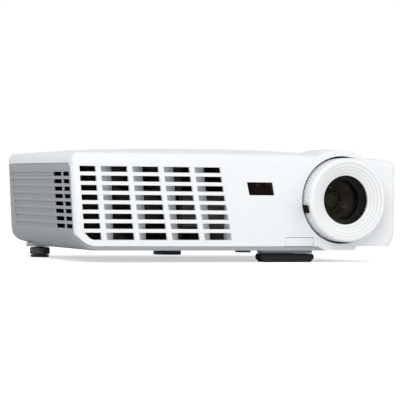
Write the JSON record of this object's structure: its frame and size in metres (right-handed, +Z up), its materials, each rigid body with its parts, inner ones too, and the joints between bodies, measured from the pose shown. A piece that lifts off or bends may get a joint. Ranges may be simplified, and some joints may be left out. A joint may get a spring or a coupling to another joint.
{
  "type": "dlp projector",
  "caption": "Portable lamp projector: white upper shell with slatted exhaust grille, grey louvred case, zoom lens with knurled focus ring, drop-down tilt foot and screw foot.",
  "frame": {"origin": "middle of the footprint of the whole part, on the surface it stands on", "axes": "+Z up; -Y is the front, where the lens looks; +X is the lens end, to the right seen from the front"},
  "size_m": [0.3104, 0.261, 0.1006],
  "materials": {
    "white_shell": "fine satin moulded texture",
    "grey_case": "fine satin moulded texture",
    "grey_keys": "satin keys",
    "black_plastic": "matt black",
    "charcoal_plastic": "matt charcoal",
    "rubber": "matt rubber",
    "window_tint": "gloss dark red tint",
    "lens_glass": "polished, coated",
    "wheel_glass": "dichroic filter segments",
    "circuit_board": "solder mask",
    "bright_steel": "plated",
    "cast_aluminium": "cast",
    "reflector_mirror": "coated reflector",
    "lamp_quartz": "quartz"
  },
  "bodies": {
    "housing": {"audio_in_jack": "black_plastic", "audio_out_jack": "black_plastic", "blower_case": "black_plastic", "bottom_case": "grey_case", "colour_wheel_motor": "bright_steel", "dmd_board": "circuit_board", "dmd_heatsink": "cast_aluminium", "exhaust_fan_frame": "black_plastic", "exhaust_vanes": "white_shell", "foot_guide": "black_plastic", "hdmi_socket": "bright_steel", "integrator_rod": "lens_glass", "ir_receiver": "black_plastic", "ir_window": "window_tint", "key_board": "circuit_board", "lamp_ballast": "black_plastic", "lamp_burner": "lamp_quartz", "lamp_door": "grey_case", "lamp_door_screw": "bright_steel", "lamp_housing": "black_plastic", "lamp_reflector": "reflector_mirror", "lens_barrel": "black_plastic", "main_board": "circuit_board", "mains_inlet": "black_plastic", "optical_engine": "cast_aluminium", "power_board": "circuit_board", "rear_lens": "lens_glass", "right_rear_foot_knob": "charcoal_plastic", "right_rear_foot_pad": "rubber", "s_video_socket": "black_plastic", "serial_port": "bright_steel", "speaker": "black_plastic", "status_light": "lens_glass", "terminal_panel": "black_plastic", "top_cover": "white_shell", "usb_socket": "bright_steel", "vga_socket": "bright_steel", "video_jack": "black_plastic"},
    "focus_ring": {"focus_ring": "white_shell"},
    "lens_cell": {"lens_cell": "black_plastic", "front_lens": "lens_glass"},
    "zoom_ring": {"zoom_ring": "black_plastic"},
    "tilt_foot": {"tilt_foot": "charcoal_plastic"},
    "foot_button": {"foot_button": "white_shell"},
    "rear_foot_pad": {"rear_foot_pad": "rubber"},
    "rear_foot_knob": {"rear_foot_knob": "charcoal_plastic"},
    "exhaust_fan_rotor": {"exhaust_fan_rotor": "black_plastic"},
    "blower_wheel": {"blower_wheel": "black_plastic"},
    "colour_wheel": {"colour_wheel": "wheel_glass"},
    "enter_key": {"enter_key": "grey_keys"},
    "left_key": {"left_key": "grey_keys"},
    "right_key": {"right_key": "grey_keys"},
    "up_key": {"up_key": "grey_keys"},
    "down_key": {"down_key": "grey_keys"},
    "menu_key": {"menu_key": "grey_keys"},
    "source_key": {"source_key": "grey_keys"},
    "power_key": {"power_key": "grey_keys"}
  },
  "joints": [
    {"name": "focus_turn", "type": "hinge", "parent": "housing", "child": "focus_ring", "pos_m": [0.1009, -0.1165, 0.0556], "axis": [0, -1, 0], "range_deg": [-45, 45]},
    {"name": "focus_travel", "type": "slide", "parent": "housing", "child": "lens_cell", "axis": [0, -1, 0], "range_m": [-0.0015, 0.0015]},
    {"name": "zoom_turn", "type": "hinge", "parent": "housing", "child": "zoom_ring", "pos_m": [0.1009, -0.1165, 0.0556], "axis": [0, -1, 0], "range_deg": [-15, 15]},
    {"name": "tilt_foot_drop", "type": "slide", "parent": "housing", "child": "tilt_foot", "axis": [0, 0, -1], "range_m": [0, 0.03]},
    {"name": "foot_button_press", "type": "slide", "parent": "housing", "child": "foot_button", "axis": [0, 1, 0], "range_m": [0, 0.0025], "stiffness_N_per_m": 800, "springref_m": -0.001},
    {"name": "rear_foot_turn", "type": "hinge", "parent": "rear_foot_pad", "child": "rear_foot_knob", "pos_m": [-0.116, 0.0685, 0], "axis": [0, 0, 1], "range_deg": [0, 1440]},
    {"name": "rear_foot_drop", "type": "slide", "parent": "housing", "child": "rear_foot_pad", "axis": [0, 0, -1], "range_m": [0, 0.006]},
    {"name": "exhaust_fan_spin", "type": "hinge", "parent": "housing", "child": "exhaust_fan_rotor", "pos_m": [-0.078, -0.083, 0.0483], "axis": [0, -1, 0], "continuous": true},
    {"name": "blower_spin", "type": "hinge", "parent": "housing", "child": "blower_wheel", "pos_m": [0.012, -0.0545, 0.0213], "axis": [0, 0, 1], "continuous": true},
    {"name": "colour_wheel_spin", "type": "hinge", "parent": "housing", "child": "colour_wheel", "pos_m": [-0.0222, 0.0115, 0.0468], "axis": [1, 0, 0], "continuous": true},
    {"name": "enter_key_press", "type": "slide", "parent": "housing", "child": "enter_key", "axis": [0, 0, -1], "range_m": [0, 0.0006], "stiffness_N_per_m": 900, "springref_m": -0.0004},
    {"name": "left_key_press", "type": "slide", "parent": "housing", "child": "left_key", "axis": [0, 0, -1], "range_m": [0, 0.0006], "stiffness_N_per_m": 900, "springref_m": -0.0004},
    {"name": "right_key_press", "type": "slide", "parent": "housing", "child": "right_key", "axis": [0, 0, -1], "range_m": [0, 0.0006], "stiffness_N_per_m": 900, "springref_m": -0.0004},
    {"name": "up_key_press", "type": "slide", "parent": "housing", "child": "up_key", "axis": [0, 0, -1], "range_m": [0, 0.0006], "stiffness_N_per_m": 900, "springref_m": -0.0004},
    {"name": "down_key_press", "type": "slide", "parent": "housing", "child": "down_key", "axis": [0, 0, -1], "range_m": [0, 0.0006], "stiffness_N_per_m": 900, "springref_m": -0.0004},
    {"name": "menu_key_press", "type": "slide", "parent": "housing", "child": "menu_key", "axis": [0, 0, -1], "range_m": [0, 0.0006], "stiffness_N_per_m": 900, "springref_m": -0.0004},
    {"name": "source_key_press", "type": "slide", "parent": "housing", "child": "source_key", "axis": [0, 0, -1], "range_m": [0, 0.0006], "stiffness_N_per_m": 900, "springref_m": -0.0004},
    {"name": "power_key_press", "type": "slide", "parent": "housing", "child": "power_key", "axis": [0, 0, -1], "range_m": [0, 0.0006], "stiffness_N_per_m": 900, "springref_m": -0.0004}
  ],
  "couplings": [
    {"joint": "focus_travel", "follows": "focus_turn", "m_per_rad": 0.001908},
    {"joint": "rear_foot_turn", "follows": "rear_foot_drop", "rad_per_m": 4184.6}
  ]
}
